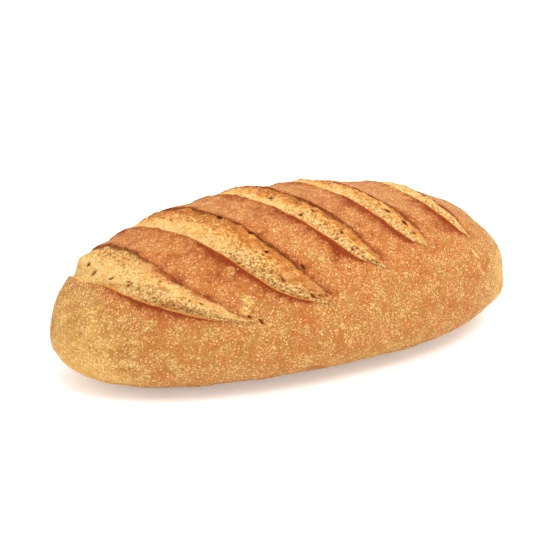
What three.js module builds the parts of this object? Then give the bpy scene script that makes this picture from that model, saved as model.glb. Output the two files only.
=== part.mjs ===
// A long rye loaf with five slanting slashes that have opened in the oven.
//
// Frame, in millimetres: X runs along the loaf, Z is up, and the loaf stands on Z = 0 with its
// middle over the origin. The long tips of the slashes run down the front, on the -Y side.
//
// A place on the skin has two coordinates. x is the distance along the loaf. q is the turn
// round it: 0 on the crown, 0.5 on the front's widest line, -0.5 on the back's, and both 1 and
// -1 along the middle of the base.

import * as THREE from "three";

const { clamp, lerp, smoothstep } = THREE.MathUtils;

// The plain loaf, without its slashes.
const LENGTH = 280;
const WIDTH = 136;
const CROWN_HEIGHT = 87.5;
const WIDEST_HEIGHT = 27; // the widest line's height, and that of both end points

// How blunt each end is, seen from above on the front and on the back, along the crown, and
// underneath: 2 is an ellipse, and more is blunter.
const LEFT_END = { front: 1.92, back: 1.9, crown: 1.93, under: 4.5 };
const RIGHT_END = { front: 2.6, back: 2.2, crown: 2.4, under: 3.2 };

// The cross-section is a superellipse above the widest line. Below it the side rolls in along
// another superellipse to the edge of the level base.
const UPPER_ROUNDNESS = 2.72;
const LOWER_ROUNDNESS = 1.9;
const BASE_SHARE = 0.4; // width of the base over the loaf's width
const BASE_EDGE_TURN = 0.8; // q along the edge of the base
const BASE_REACH = 1.02; // over 1, so that the base lies on the floor along the loaf's middle

// The slashes, from the left. One crosses the crown at x, and its middle line is at
// x + lean q + hook q^4, from q = tail on the back to q = tip on the front. half is half its
// opening, measured along the loaf. full is how blunt the opening's points are, and taper how
// much of its width it loses toward the tip. The crust stands up by lip on the near side and by
// ear on the far side, and the crumb lies depth below the plain loaf beside the near lip.
const SLASHES = [
  {
    x: -106.4, lean: 44, hook: 1770, tail: -0.27, tip: 0.388,
    half: 12.8, full: 11, taper: 0.11, lip: 1.8, ear: 4.6, depth: 3.2,
  },
  {
    x: -57, lean: 71.3, hook: 1420, tail: -0.32, tip: 0.38,
    half: 14.1, full: 11, taper: 0.1, lip: 1.9, ear: 3.2, depth: 3.6,
  },
  {
    x: -5.8, lean: 74.9, hook: 1725, tail: -0.32, tip: 0.309,
    half: 9.7, full: 8, taper: 0.08, lip: 1.4, ear: 3.7, depth: 3,
  },
  {
    x: 38, lean: 55.5, hook: 2125, tail: -0.31, tip: 0.27,
    half: 9.3, full: 8, taper: 0.05, lip: 1.2, ear: 1.8, depth: 2.6,
  },
  {
    x: 83.5, lean: 20.8, hook: 2800, tail: -0.28, tip: 0.251,
    half: 6.5, full: 4.8, taper: 0.09, lip: 1, ear: 2.2, depth: 2.2,
  },
];

// The opening's profile, by the share f of the way from the near edge to the far one.
const LIP_WALL = 0.05; // f at the foot of the near wall
const CRUMB_FULL = 0.45; // f where the crumb has risen to the plain loaf
const CRUMB_BULGE = 0.8; // how far its middle swells above that
const FAR_RISE = { from: 0.35, to: 0.82, share: 0.55 }; // it then climbs this share of the ear
const GROOVE = { from: 0.8, to: 0.91, depth: 2.2 }; // the torn groove under the far crust
const EAR_WALL = 0.92; // f at the foot of the far wall
const EAR_PULL = 1.6; // how far the far crust leans over the groove
const LIP_FADE = 6; // distance over which the near crust sinks back by a factor e
const EAR_FADE = 11; // and the same for the far crust
const PULL_FADE = 3; // and for its lean
const POINT_FADE = 0.1; // turn q over which the relief rises from a slash's point
const TURN_LENGTH = 200; // millimetres of skin per unit of q, on the crown
const END_CALM = 14; // the relief dies out over this distance from an end point

// The mesh: rows run along the loaf at constant q, and columns follow the edges of the slashes.
const ROW_BANDS = [
  { from: -1, to: -BASE_EDGE_TURN, count: 3 },
  { from: -BASE_EDGE_TURN, to: -0.5, count: 10 },
  { from: -0.5, to: -0.35, count: 5 },
  { from: -0.35, to: 0.18, count: 25 },
  { from: 0.18, to: 0.41, count: 16 },
  { from: 0.41, to: 0.5, count: 4 },
  { from: 0.5, to: BASE_EDGE_TURN, count: 10 },
  { from: BASE_EDGE_TURN, to: 1, count: 3 },
];
const LEAST_HALF = 5; // half the distance between a slash's edge columns where it is shut
const OPENING_COLUMNS = [0, LIP_WALL, 0.2, 0.4, 0.6, 0.78, EAR_WALL];
const CRUST_COLUMNS = [0, 0.12, 0.36, 0.64, 0.88];
const LEFT_COLUMNS = [0.02, 0.08, 0.18, 0.31, 0.46, 0.61, 0.76, 0.9];
const RIGHT_COLUMNS = [0, 0.06, 0.16, 0.29, 0.44, 0.59, 0.73, 0.85, 0.93, 0.98];

/** Half-width that is left at share a of the way to an end, for a full half-width of 1. */
function endCurve(a, bluntness) {
  return Math.sqrt(Math.max(0, 1 - a ** bluntness));
}

/** Point at an angle from the vertical on a superellipse with both half-axes 1. */
function superellipse(angle, roundness) {
  const side = Math.sin(angle);
  const up = Math.cos(angle);
  const radius = (Math.abs(side) ** roundness + Math.abs(up) ** roundness) ** (-1 / roundness);
  return { side: side * radius, up: up * radius };
}

/** Cross-section at turn t, from 0 on the crown to 1 under the base: shares of width and depth. */
function section(t) {
  if (t <= 0.5) {
    return superellipse(Math.PI * t, UPPER_ROUNDNESS);
  }
  if (t < BASE_EDGE_TURN) {
    const roll = (t - 0.5) / (BASE_EDGE_TURN - 0.5);
    const rim = superellipse((Math.PI / 2) * (1 + roll), LOWER_ROUNDNESS);
    return { side: lerp(BASE_SHARE, 1, rim.side), up: rim.up };
  }
  return { side: (BASE_SHARE * (1 - t)) / (1 - BASE_EDGE_TURN), up: -1 };
}

/** Point of the loaf before it was slashed. */
function plainPoint(x, q) {
  const along = clamp(x / (LENGTH / 2), -1, 1);
  const a = Math.abs(along);
  const end = along < 0 ? LEFT_END : RIGHT_END;
  const halfWidth = (WIDTH / 2) * endCurve(a, q > 0 ? end.front : end.back);
  const rise = (CROWN_HEIGHT - WIDEST_HEIGHT) * endCurve(a, end.crown);
  const drop = WIDEST_HEIGHT * Math.min(1, BASE_REACH * endCurve(a, end.under));
  const { side, up } = section(Math.abs(q));
  return new THREE.Vector3(x, -Math.sign(q) * halfWidth * side, WIDEST_HEIGHT + (up > 0 ? rise : drop) * up);
}

/** Half the slash's opening at turn q, along the loaf. It is 0 beyond both points. */
function halfOpening(slash, q) {
  const share = q > 0 ? q / slash.tip : q / slash.tail;
  if (share >= 1) {
    return 0;
  }
  return slash.half * (1 - share ** slash.full) * (1 - slash.taper * (q / slash.tip));
}

/** Distance along the loaf of the slash's middle line, for a turn q that the slash reaches. */
function middleLine(slash, q) {
  return slash.x + slash.lean * q + slash.hook * Math.sign(q) * q ** 4;
}

/** Middle of a slash's columns: its own line, then a smooth way to one place under the loaf. */
function columnMiddle(slash, q) {
  if (q > slash.tail && q < slash.tip) {
    return middleLine(slash, q);
  }
  const point = q > 0 ? slash.tip : slash.tail;
  const under = (middleLine(slash, slash.tip) + middleLine(slash, slash.tail)) / 2;
  const way = smoothstep(Math.abs(q), Math.abs(point), 1);
  return lerp(middleLine(slash, point), under, way);
}

/** Height over the plain loaf, and lean toward the near side, at share f of an opening. */
function openingProfile(f, { lip, ear, depth }) {
  const lipShare = 1 - smoothstep(f, 0, LIP_WALL);
  const earShare = smoothstep(f, EAR_WALL, 1);
  const near = -depth * (1 - smoothstep(f, 0, CRUMB_FULL));
  const middle = CRUMB_BULGE * Math.sin(Math.PI * f);
  const far = FAR_RISE.share * ear * smoothstep(f, FAR_RISE.from, FAR_RISE.to);
  const groove = -GROOVE.depth * smoothstep(f, GROOVE.from, GROOVE.to);
  const crumb = (near + middle + far + groove) * (1 - lipShare) * (1 - earShare);
  return { height: crumb + lip * lipShare + ear * earShare, pull: EAR_PULL * earShare };
}

/** What one slash adds at (x, q): height along the normal, and pull along the loaf. */
function slashRelief(slash, x, q) {
  const half = halfOpening(slash, q);
  if (half <= 0) {
    return { height: 0, pull: 0 };
  }
  const slope = slash.lean + 4 * slash.hook * Math.abs(q) ** 3;
  const squareness = 1 / Math.hypot(1, slope / TURN_LENGTH);
  const offset = x - middleLine(slash, q);
  const beyond = Math.max(0, Math.abs(offset) - half) * squareness;
  const amplitude = smoothstep(slash.tip - q, 0, POINT_FADE) * smoothstep(q - slash.tail, 0, POINT_FADE);
  let part = openingProfile((offset / half + 1) / 2, slash);
  if (offset < -half) {
    part = { height: slash.lip * Math.exp(-beyond / LIP_FADE), pull: 0 };
  } else if (offset > half) {
    part = {
      height: slash.ear * Math.exp(-beyond / EAR_FADE),
      pull: EAR_PULL * Math.exp(-beyond / PULL_FADE),
    };
  }
  return { height: part.height * amplitude, pull: part.pull * amplitude };
}

/** Outward normal of the plain loaf at (x, q), and the unit direction along the loaf there. */
function skinDirections(x, q) {
  const stepAlong = 0.5;
  const stepRound = 0.002;
  const along = plainPoint(x + stepAlong, q).sub(plainPoint(x - stepAlong, q)).normalize();
  const round = plainPoint(x, q + stepRound).sub(plainPoint(x, q - stepRound));
  return { normal: new THREE.Vector3().crossVectors(round, along).normalize(), along };
}

/** Point of the finished crust or crumb at (x, q). */
function skinPoint(x, q) {
  const point = plainPoint(x, q);
  const calm = smoothstep(LENGTH / 2 - Math.abs(x), 0, END_CALM);
  let height = 0;
  let pull = 0;
  for (const slash of SLASHES) {
    const added = slashRelief(slash, x, q);
    height += added.height * calm;
    pull += added.pull * calm;
  }
  if (height === 0 && pull === 0) {
    return point;
  }
  const { normal, along } = skinDirections(x, q);
  return point.addScaledVector(normal, height).addScaledVector(along, -pull);
}

/** Turns of all rows, from the middle of the base round the back and the crown to it again. */
function rowTurns() {
  return ROW_BANDS.flatMap(({ from, to, count }) =>
    Array.from({ length: count }, (_, i) => lerp(from, to, i / count)));
}

/** Distances along the loaf of all columns in the row at turn q, without the two end points. */
function columnPlaces(q) {
  const ends = [-LENGTH / 2, LENGTH / 2];
  const edges = SLASHES.map((slash) => {
    const half = Math.max(LEAST_HALF, halfOpening(slash, q));
    return [columnMiddle(slash, q) - half, columnMiddle(slash, q) + half];
  });
  const places = LEFT_COLUMNS.map((f) => lerp(ends[0], edges[0][0], f));
  edges.forEach(([near, far], i) => {
    places.push(...OPENING_COLUMNS.map((f) => lerp(near, far, f)));
    const next = i + 1 < edges.length ? edges[i + 1][0] : ends[1];
    const shares = i + 1 < edges.length ? CRUST_COLUMNS : RIGHT_COLUMNS;
    places.push(...shares.map((f) => lerp(far, next, f)));
  });
  return places;
}

/** The closed skin: a net of rows and columns, with a fan of triangles round each end point. */
function loafGeometry() {
  const turns = rowTurns();
  const rows = turns.map((q) => columnPlaces(q).map((x) => skinPoint(x, q)));
  const rowCount = rows.length;
  const columnCount = rows[0].length;
  const corners = rows.flat();
  corners.push(new THREE.Vector3(-LENGTH / 2, 0, WIDEST_HEIGHT));
  corners.push(new THREE.Vector3(LENGTH / 2, 0, WIDEST_HEIGHT));
  const leftEnd = corners.length - 2;
  const rightEnd = corners.length - 1;
  const faces = [];
  for (let row = 0; row < rowCount; row += 1) {
    const here = row * columnCount;
    const next = ((row + 1) % rowCount) * columnCount;
    faces.push(leftEnd, next, here);
    faces.push(rightEnd, here + columnCount - 1, next + columnCount - 1);
    for (let column = 0; column + 1 < columnCount; column += 1) {
      const [a, b, c, d] = [here + column, here + column + 1, next + column + 1, next + column];
      if (corners[a].distanceTo(corners[c]) < corners[b].distanceTo(corners[d])) {
        faces.push(a, c, b, a, d, c);
      } else {
        faces.push(a, d, b, b, d, c);
      }
    }
  }
  const geometry = new THREE.BufferGeometry().setFromPoints(corners);
  geometry.setIndex(faces);
  geometry.computeVertexNormals();
  return geometry;
}

const crust = new THREE.MeshStandardMaterial({ color: 0xd0905a, roughness: 0.75, metalness: 0 });
const loaf = new THREE.Mesh(loafGeometry(), crust);
loaf.name = "loaf";

const part = new THREE.Group();
part.add(loaf);

export default part;
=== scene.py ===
"""A long rye loaf with five torn slashes, on a white studio floor.

The loaf's skin is one closed net. A place on it has two coordinates: x, the distance along the
loaf, and q, the turn round it: 0 on the crown, 0.5 on the front's widest line, -0.5 on the
back's, and both 1 and -1 along the middle of the base. The net is worked out in millimetres.
Meshes, materials and the studio are in metres.
"""

import logging
import math
from dataclasses import dataclass, field
from enum import Enum

import bpy
import numpy as np
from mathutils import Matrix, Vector


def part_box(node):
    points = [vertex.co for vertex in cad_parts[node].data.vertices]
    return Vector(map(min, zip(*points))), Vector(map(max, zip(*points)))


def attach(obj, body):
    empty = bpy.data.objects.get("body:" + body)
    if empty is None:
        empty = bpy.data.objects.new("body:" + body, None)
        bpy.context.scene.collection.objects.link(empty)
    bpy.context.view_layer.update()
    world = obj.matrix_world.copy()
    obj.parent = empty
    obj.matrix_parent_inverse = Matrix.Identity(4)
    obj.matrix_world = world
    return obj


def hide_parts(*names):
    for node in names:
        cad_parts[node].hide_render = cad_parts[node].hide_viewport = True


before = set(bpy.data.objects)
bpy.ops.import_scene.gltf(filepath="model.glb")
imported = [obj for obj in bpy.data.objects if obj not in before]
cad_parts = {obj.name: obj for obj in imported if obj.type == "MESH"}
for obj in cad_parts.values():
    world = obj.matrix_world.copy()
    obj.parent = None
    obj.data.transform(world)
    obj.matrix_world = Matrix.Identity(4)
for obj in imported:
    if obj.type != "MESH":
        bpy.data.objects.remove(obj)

LOG = logging.getLogger("rye_loaf")
MM = 0.001
STUDIO_GAIN = 1.45  # how much brighter than its pigment a surface looks in this studio's light
LAYER_SHIFT = 7.3  # cells between the places at which two layers of one noise are read
MEAN_SLOPE_AT = 0.6  # share of a turn at which a slash has about its mean slope on the way there
Floats = np.ndarray
Pair = tuple[float, float]
Triple = tuple[float, float, float]
Shown = tuple[int, int, int]  # red, green and blue as a display shows them, from 0 to 255
Stops = tuple[tuple[float, Shown], ...]
Socket = bpy.types.NodeSocket
Inputs = dict[str | int, object]


def smoothstep(value: Floats, low: float | Floats, high: float | Floats) -> Floats:
    """Smooth rise from 0 at low to 1 at high: 3 s squared less 2 s cubed, s the share of the way.

    Args:
        value: Where to read the rise.
        low: Start of the rise.
        high: End of the rise. It may be less than low, for a fall.

    Returns:
        The rise, of the shape of value.
    """
    share = np.clip((value - low) / (high - low), 0.0, 1.0)
    return share * share * (3.0 - 2.0 * share)


def lerp(start: Floats | float, end: Floats | float, share: Floats | float) -> Floats | float:
    """Straight way from start to end."""
    return start + (end - start) * share


def skewed(rng: np.random.Generator, least: float, spread: float, power: float) -> float:
    """Random value from least to least + spread, mostly near least: a share to the power."""
    return least + spread * rng.uniform() ** power


def pigment(colour: Shown) -> Triple:
    """Pigment that looks like a colour of the display scale in this studio.

    Args:
        colour: The colour.

    Returns:
        The three light-linear shares, each ((c + 0.055) / 1.055) to the 2.4, over the gain.
    """
    shares = [value / 255.0 for value in colour]
    return tuple(((c + 0.055) / 1.055) ** 2.4 / STUDIO_GAIN for c in shares)


class Mark(Enum):
    """Names of the values that the skin's corners hand to its finish."""

    CRUMB = "crumb"
    TOAST = "toast"
    # How brown the crust is, with painted light that makes both ends paler.
    BAKE_AND_END_LIGHT = "bake"
    HOLE_SHADE = "hole_shade_flake_pale"
    POROUS = "porous"
    # Painted shade in the ground of holes.
    TEAR = "tear"
    # Where each near edge's rim is painted orange, partly as a highlight.
    RIM_HIGHLIGHT = "rim"


class LatticeNoise:
    """Smooth seeded noise: random values on the corners of unit cells, blended in between."""

    CELLS = 48

    def __init__(self, seed: int) -> None:
        """Draws the corners' values from a seed. The same seed gives the same noise."""
        self.values = np.random.default_rng(seed).uniform(-1.0, 1.0, (self.CELLS,) * 3)

    def sample(self, points: Floats) -> Floats:
        """Noise between -1 and 1: each axis blends its two nearest corners by smoothstep.

        Args:
            points: Places, of shape (..., 3), in cells.

        Returns:
            The noise there, of shape (...).
        """
        cell = np.floor(points).astype(np.int64)
        blend = smoothstep(points - cell, 0.0, 1.0)
        low = cell % self.CELLS
        high = (cell + 1) % self.CELLS
        total = np.zeros(points.shape[:-1])
        for corner in np.ndindex(2, 2, 2):
            at = [high[..., axis] if corner[axis] else low[..., axis] for axis in range(3)]
            share = np.ones(points.shape[:-1])
            for axis in range(3):
                share *= blend[..., axis] if corner[axis] else 1.0 - blend[..., axis]
            total += share * self.values[at[0], at[1], at[2]]
        return total

    def octaves(self, points: Floats, size: float | Triple, count: int) -> Floats:
        """Sum of layers, each with half the size and half the height of the one before.

        Args:
            points: Places, of shape (..., 3), in millimetres.
            size: Cell size of the first layer in millimetres, for all axes or for each.
            count: Number of layers.

        Returns:
            The noise, mostly between -1 and 1.
        """
        total = np.zeros(points.shape[:-1])
        for layer in range(count):
            cells = points * (2.0 ** layer) / np.asarray(size) + LAYER_SHIFT * layer
            total += self.sample(cells) * 0.5 ** layer
        return total


@dataclass(frozen=True)
class Unevenness:
    """Lattice noise of a height, with a shift of its places that keeps two sorts apart."""

    height: float
    size: float | Triple
    count: int = 1
    shift: float = 0.0

    def at(self, noise: LatticeNoise, places: Floats) -> Floats:
        """The unevenness at places: its height times the noise's octaves."""
        return self.height * noise.octaves(places + self.shift, self.size, self.count)


@dataclass(frozen=True)
class LoafEnd:
    """How blunt an end is: 2 is an ellipse, and more is blunter."""

    front: float
    back: float
    crown: float
    under: float


@dataclass(frozen=True)
class Slash:
    """A slash that opened in the oven. Its middle line is at x + lean q + hook q^4.

    Attributes:
        x: Where it crosses the crown.
        lean: Slope of the middle line on the crown, in millimetres per turn.
        hook: How fast the line bends away on both sides.
        tail: Turn of the point on the back.
        tip: Turn of the point on the front.
        half: Half the opening, measured along the loaf.
        full: How blunt the points are.
        taper: Share of its width that it loses toward the tip.
        lip: Height of the near crust's edge over the plain loaf.
        ear: Height of the far crust's edge.
        depth: How deep the crumb lies beside the near edge.
        lean_over: How far the far crust hangs over the crumb.
        crisp: Turn on the front where the far crust's clean edge begins to dissolve.
        toasted: How brown and pitted the crumb gets under the far edge, up to 1.
        columns: Lines of the net across the opening.
        near_stop: The near edge goes no further toward the left end than this.
        dissolve: Turns after and before crisp in which the far edge dissolves.
    """

    x: float
    lean: float
    hook: float
    tail: float
    tip: float
    half: float
    full: float
    taper: float
    lip: float
    ear: float
    depth: float
    lean_over: float
    crisp: float
    toasted: float
    columns: int
    near_stop: float = -140.0
    dissolve: Pair = (0.07, -0.05)

    def middle(self, q: Floats) -> Floats:
        """Place of the middle line at turn q: x + lean q + hook q^4, odd about the crown."""
        return self.x + self.lean * q + self.hook * np.sign(q) * q ** 4

    def slope(self, q: Floats) -> Floats:
        """Slope of the middle line, in millimetres per turn."""
        return self.lean + 4.0 * self.hook * np.abs(q) ** 3

    def half_opening(self, q: Floats) -> Floats:
        """Half the opening at turn q: half (1 - share^full) less the taper, 0 past the points."""
        share = np.clip(np.where(q > 0, q / self.tip, q / self.tail), 0.0, 1.0)
        return self.half * (1.0 - share ** self.full) * (1.0 - self.taper * q / self.tip)

    def amplitude(self, q: Floats, fade: float) -> Floats:
        """Rise of the relief from 0 at each point to 1 at a turn of fade inside it."""
        return smoothstep(self.tip - q, 0.0, fade) * smoothstep(q - self.tail, 0.0, fade)

    def clean(self, q: Floats) -> Floats:
        """1 where the far edge is clean, falling to 0 toward the tip, where it is torn ragged."""
        return smoothstep(q, *(self.crisp + turn for turn in self.dissolve))

    def net_middle(self, q: Floats) -> Floats:
        """Middle of the slash's lines of the net, which run on under the loaf.

        Args:
            q: Turns.

        Returns:
            The middle line's place between the points. Beyond them it runs smoothly to the mean
            of both points' places, under the loaf.
        """
        point = np.where(q > 0, self.tip, self.tail)
        under = (self.middle(self.tip) + self.middle(self.tail)) / 2.0
        way = smoothstep(np.abs(q), np.abs(point), 1.0)
        inside = (q > self.tail) & (q < self.tip)
        return np.where(inside, self.middle(q), lerp(self.middle(point), under, way))


@dataclass(frozen=True)
class LoafForm:
    """The plain loaf before it was slashed, as the solid has it."""

    length: float
    width: float
    crown_height: float = 87.5
    widest_height: float = 27.0
    left: LoafEnd = LoafEnd(front=1.92, back=1.9, crown=1.93, under=4.5)
    right: LoafEnd = LoafEnd(front=2.6, back=2.2, crown=2.4, under=3.2)
    upper_roundness: float = 2.72
    lower_roundness: float = 1.9
    base_share: float = 0.4
    base_edge_turn: float = 0.8
    base_reach: float = 1.02
    end_gap: float = 0.6
    step_along: float = 0.5
    step_round: float = 0.002

    def end_curve(self, a: Floats, bluntness: Floats | float) -> Floats:
        """Share of the width at share a of the way to an end: root of 1 - a^bluntness."""
        return np.sqrt(np.maximum(0.0, 1.0 - a ** bluntness))

    def superellipse(self, angle: Floats, roundness: float) -> tuple[Floats, Floats]:
        """Point on a superellipse with both half-axes 1.

        Args:
            angle: Angle from the vertical.
            roundness: Power of the superellipse.

        Returns:
            Its distances to the side and upward: sine and cosine, over the length of the two in
            that power.
        """
        side, up = np.sin(angle), np.cos(angle)
        radius = (np.abs(side) ** roundness + np.abs(up) ** roundness) ** (-1.0 / roundness)
        return side * radius, up * radius

    def section(self, t: Floats) -> tuple[Floats, Floats]:
        """Cross-section: a superellipse, another for the rolled rim, then the level base.

        Args:
            t: Turn from 0 on the crown to 1 under the base.

        Returns:
            Shares of the half-width, and of the height over or under the widest line.
        """
        edge = self.base_edge_turn
        side, up = self.superellipse(np.pi * t, self.upper_roundness)
        roll = (t - 0.5) / (edge - 0.5)
        rim_side, rim_up = self.superellipse(np.pi / 2.0 * (1.0 + roll), self.lower_roundness)
        rim_side = lerp(self.base_share, 1.0, rim_side)
        base_side = self.base_share * (1.0 - t) / (1.0 - edge)
        side = np.where(t <= 0.5, side, np.where(t < edge, rim_side, base_side))
        up = np.where(t <= 0.5, up, np.where(t < edge, rim_up, -1.0))
        return side, up

    def per_end(self, along: Floats, name: str) -> Floats:
        """The named bluntness of the end that each place lies toward."""
        return np.where(along < 0, getattr(self.left, name), getattr(self.right, name))

    def point(self, x: Floats, q: Floats) -> Floats:
        """Points of the plain loaf: the cross-section, scaled by each end's curves.

        Args:
            x: Distances along the loaf.
            q: Turns round it.

        Returns:
            The points, of shape (..., 3).
        """
        along = np.clip(x / (self.length / 2.0), -1.0, 1.0)
        a = np.abs(along)
        plan = np.where(q > 0, self.per_end(along, "front"), self.per_end(along, "back"))
        half_width = self.width / 2.0 * self.end_curve(a, plan)
        crown = self.end_curve(a, self.per_end(along, "crown"))
        rise = (self.crown_height - self.widest_height) * crown
        reach = self.base_reach * self.end_curve(a, self.per_end(along, "under"))
        drop = self.widest_height * np.minimum(1.0, reach)
        side, up = self.section(np.abs(q))
        y = -np.sign(q) * half_width * side
        z = self.widest_height + np.where(up > 0, rise, drop) * up
        return np.stack(np.broadcast_arrays(x, y, z), axis=-1)

    def directions(self, x: Floats, q: Floats) -> tuple[Floats, Floats]:
        """Outward normals, and unit directions along the loaf, from small steps in x and q.

        Args:
            x: Distances along the loaf.
            q: Turns round it.

        Returns:
            The normals and the directions, each of shape (..., 3).
        """
        near_end = self.length / 2.0 - self.end_gap
        x = np.clip(x, -near_end, near_end)
        along = self.point(x + self.step_along, q) - self.point(x - self.step_along, q)
        turn = self.point(x, q + self.step_round) - self.point(x, q - self.step_round)
        along /= np.linalg.norm(along, axis=-1, keepdims=True)
        normal = np.cross(turn, along)
        return normal / np.linalg.norm(normal, axis=-1, keepdims=True), along


@dataclass(frozen=True)
class TornProfile:
    """Section through an opening, by the share f of the way from the near edge to the far one."""

    lip_wall: float = 0.05
    crumb_full: float = 0.45
    sunk: float = 0.55
    bulge: float = 0.9
    far_from: float = 0.35
    far_to: float = 0.82
    far_share: float = 0.6
    groove_from: float = 0.82
    groove_to: float = 0.93
    groove_depth: float = 0.3
    rim: float = 0.7
    rim_fade: float = 1.3
    ear_wall: float = 0.95
    ragged_ear: float = 0.25
    lip_fade: float = 6.0
    ear_fade: float = 11.0
    lean_fade: float = 3.0
    point_fade: float = 0.1
    crumb_near: Pair = (0.02, 0.045)
    crumb_far: Pair = (0.975, 0.95)

    def ear(self, q: Floats, slash: Slash) -> Floats:
        """Height of the far edge at turn q: the slash's, less where the edge is ragged."""
        return slash.ear * lerp(self.ragged_ear, 1.0, slash.clean(q))

    def height(self, f: Floats, q: Floats, slash: Slash) -> Floats:
        """Height over the plain loaf inside the opening.

        Args:
            f: Share of the way across.
            q: Turn round the loaf.
            slash: The slash.

        Returns:
            The crumb's height: sunk beside the near edge, swollen in the middle, climbing under
            the far edge, then the torn groove. Each edge's wall blends it to the crust's height.
        """
        lip_share = 1.0 - smoothstep(f, 0.0, self.lip_wall)
        ear_share = smoothstep(f, self.ear_wall, 1.0)
        near = -self.sunk * slash.depth * (1.0 - smoothstep(f, 0.0, self.crumb_full))
        middle = self.bulge * np.sin(np.pi * f)
        far = self.far_share * self.ear(q, slash) * smoothstep(f, self.far_from, self.far_to)
        depth = self.groove_depth * slash.clean(q)
        groove = -depth * smoothstep(f, self.groove_from, self.groove_to)
        crumb = (near + middle + far + groove) * (1.0 - lip_share) * (1.0 - ear_share)
        return crumb + (slash.lip + self.rim) * lip_share + self.ear(q, slash) * ear_share

    def lean(self, f: Floats, q: Floats, slash: Slash) -> Floats:
        """Lean toward the near side inside the opening, along the wall under a clean far edge."""
        return slash.lean_over * slash.clean(q) * smoothstep(f, self.ear_wall, 1.0)


@dataclass(frozen=True)
class Spot:
    """A dent or swelling that shows in the crust or the crumb.

    Attributes:
        x: Its place along the loaf.
        q: Its turn round it.
        length: Half its length, along the slashes.
        width: Half its width.
        height: Its height, less than 0 for a hole.
        hole_shade_flake_pale: Painted shade in a hole's ground up to 1; below 0 a flake's paleness, to
            -1.
    """

    x: float
    q: float
    length: float
    width: float
    height: float
    hole_shade_flake_pale: float = 0.0


@dataclass
class Opening:
    """One slash, as each corner of the net sees it.

    Attributes:
        slash: The slash.
        q: The corner's turn.
        share: Share of the way across: 0 on the near edge and 1 on the far one.
        beyond: Distance outside the opening, square to the slash.
        is_open: 1 where the slash is open at that turn, else 0.
        tear: Distance along the tear, distance across it, and the slash's place.
    """

    slash: Slash
    q: Floats
    share: Floats
    beyond: Floats
    is_open: Floats
    tear: Floats

    @property
    def f(self) -> Floats:
        """The share of the way across, held between 0 and 1."""
        return np.clip(self.share, 0.0, 1.0)


@dataclass
class SkinLayers:
    """What the slashes add up to at each corner of the net, as they are cut one by one.

    Glows are nearness to a near edge and to a far one, and the near edge's rim.
    """

    height: Floats
    lean: Floats
    crumb: Floats
    toast: Floats
    porous: Floats
    glows: Floats
    tear: Floats


@dataclass(frozen=True)
class Relief:
    """Fine unevenness in millimetres, and how far crust and crumb sink so that it fits."""

    swells: Unevenness = Unevenness(0.6, 38.0, 2)
    bumps: Unevenness = Unevenness(0.28, 9.0, 2, 90.0)
    mealy: Unevenness = Unevenness(0.24, 2.4)
    crust_sunk: float = 0.54
    lumps: Unevenness = Unevenness(0.95, (10.0, 6.0, 1.0))
    strands: Unevenness = Unevenness(0.4, (5.0, 2.4, 1.0), 2)
    cross_strands: Unevenness = Unevenness(0.45, (2.0, 5.0, 1.0), 1, 25.0)
    grain: Unevenness = Unevenness(0.6, (2.0, 1.8, 1.0), 1, 50.0)
    crumb_sunk: float = 0.3
    stray: Unevenness = Unevenness(0.75, 9.0)
    fine_stray: Unevenness = Unevenness(0.32, 3.2, 2)


@dataclass(frozen=True)
class TornLook:
    """How an opening browned, by the share of the way across and by the turn.

    A pair is the start and the end of a smooth rise. The pair low_down is counted back from the
    slash's tip. A fade is the turn or the distance that a value needs to build up or die away.
    """

    rough_fade: float = 0.06
    patches: Unevenness = Unevenness(0.22, 7.0, 2, 70.0)
    ragged: Pair = (0.6, 0.94)
    ragged_share: float = 0.85
    brown: Pair = (0.1, 0.95)
    near_brown: Pair = (0.16, 0.03)
    near_share: float = 0.4
    streaks: Unevenness = Unevenness(0.22, (14.0, 3.5, 1.0), 2, 20.0)
    low_down: Pair = (0.34, 0.14)
    holes: Pair = (0.45, 0.8)
    low_holes: Pair = (0.8, 0.4)
    glow_fade: float = 0.04
    lip_turn: Pair = (0.0, 0.24)
    lip_least: float = 0.35
    lip_fade: float = 4.0
    ear_from: float = 0.9
    ear_fade: float = 2.2
    # The rim that the finish colours orange: partly its own colour, partly a painted highlight.
    rim_turn: Pair = (-0.02, 0.16)
    rim_to: float = 0.05
    rim_width: float = 0.6

    def toast(self, opening: Opening) -> Floats:
        """How brown the crumb is: more toward the far edge, and a little beside the near one."""
        far = opening.slash.toasted * smoothstep(opening.f, *self.brown)
        return far + self.near_share * smoothstep(opening.f, *self.near_brown)

    def porous(self, opening: Opening) -> Floats:
        """How full of fine holes the crumb is; the finish paints shade into its pits and strand gaps by
        it.

        Args:
            opening: The slash.

        Returns:
            A rise toward the far edge, which turns into one toward the near edge low down.
        """
        low_down = smoothstep(opening.q, *(opening.slash.tip - turn for turn in self.low_down))
        ways = (smoothstep(opening.f, *pair) for pair in (self.holes, self.low_holes))
        return lerp(*ways, low_down)

    def glows(self, opening: Opening) -> Floats:
        """Nearness to a slash's edges, each from 0 to 1.

        Args:
            opening: The slash.

        Returns:
            Three layers: the crust before the near edge and the far edge, each falling by a
            factor e over its fade, and the near edge's narrow rim, as a bell curve, where the finish
            paints an orange that is partly a painted highlight.
        """
        share, beyond = opening.share, opening.beyond
        lip = np.exp(-beyond / self.lip_fade) * (share < 0)
        lip *= lerp(self.lip_least, 1.0, smoothstep(opening.q, *self.lip_turn))
        ear = np.exp(-beyond / self.ear_fade) * (share > self.ear_from)
        rim = np.exp(-(beyond / self.rim_width) ** 2) * (share < self.rim_to)
        rim *= smoothstep(opening.q, *self.rim_turn)
        strength = opening.slash.amplitude(opening.q, self.glow_fade) * opening.is_open
        return np.stack([lip, ear, rim]) * strength


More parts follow.
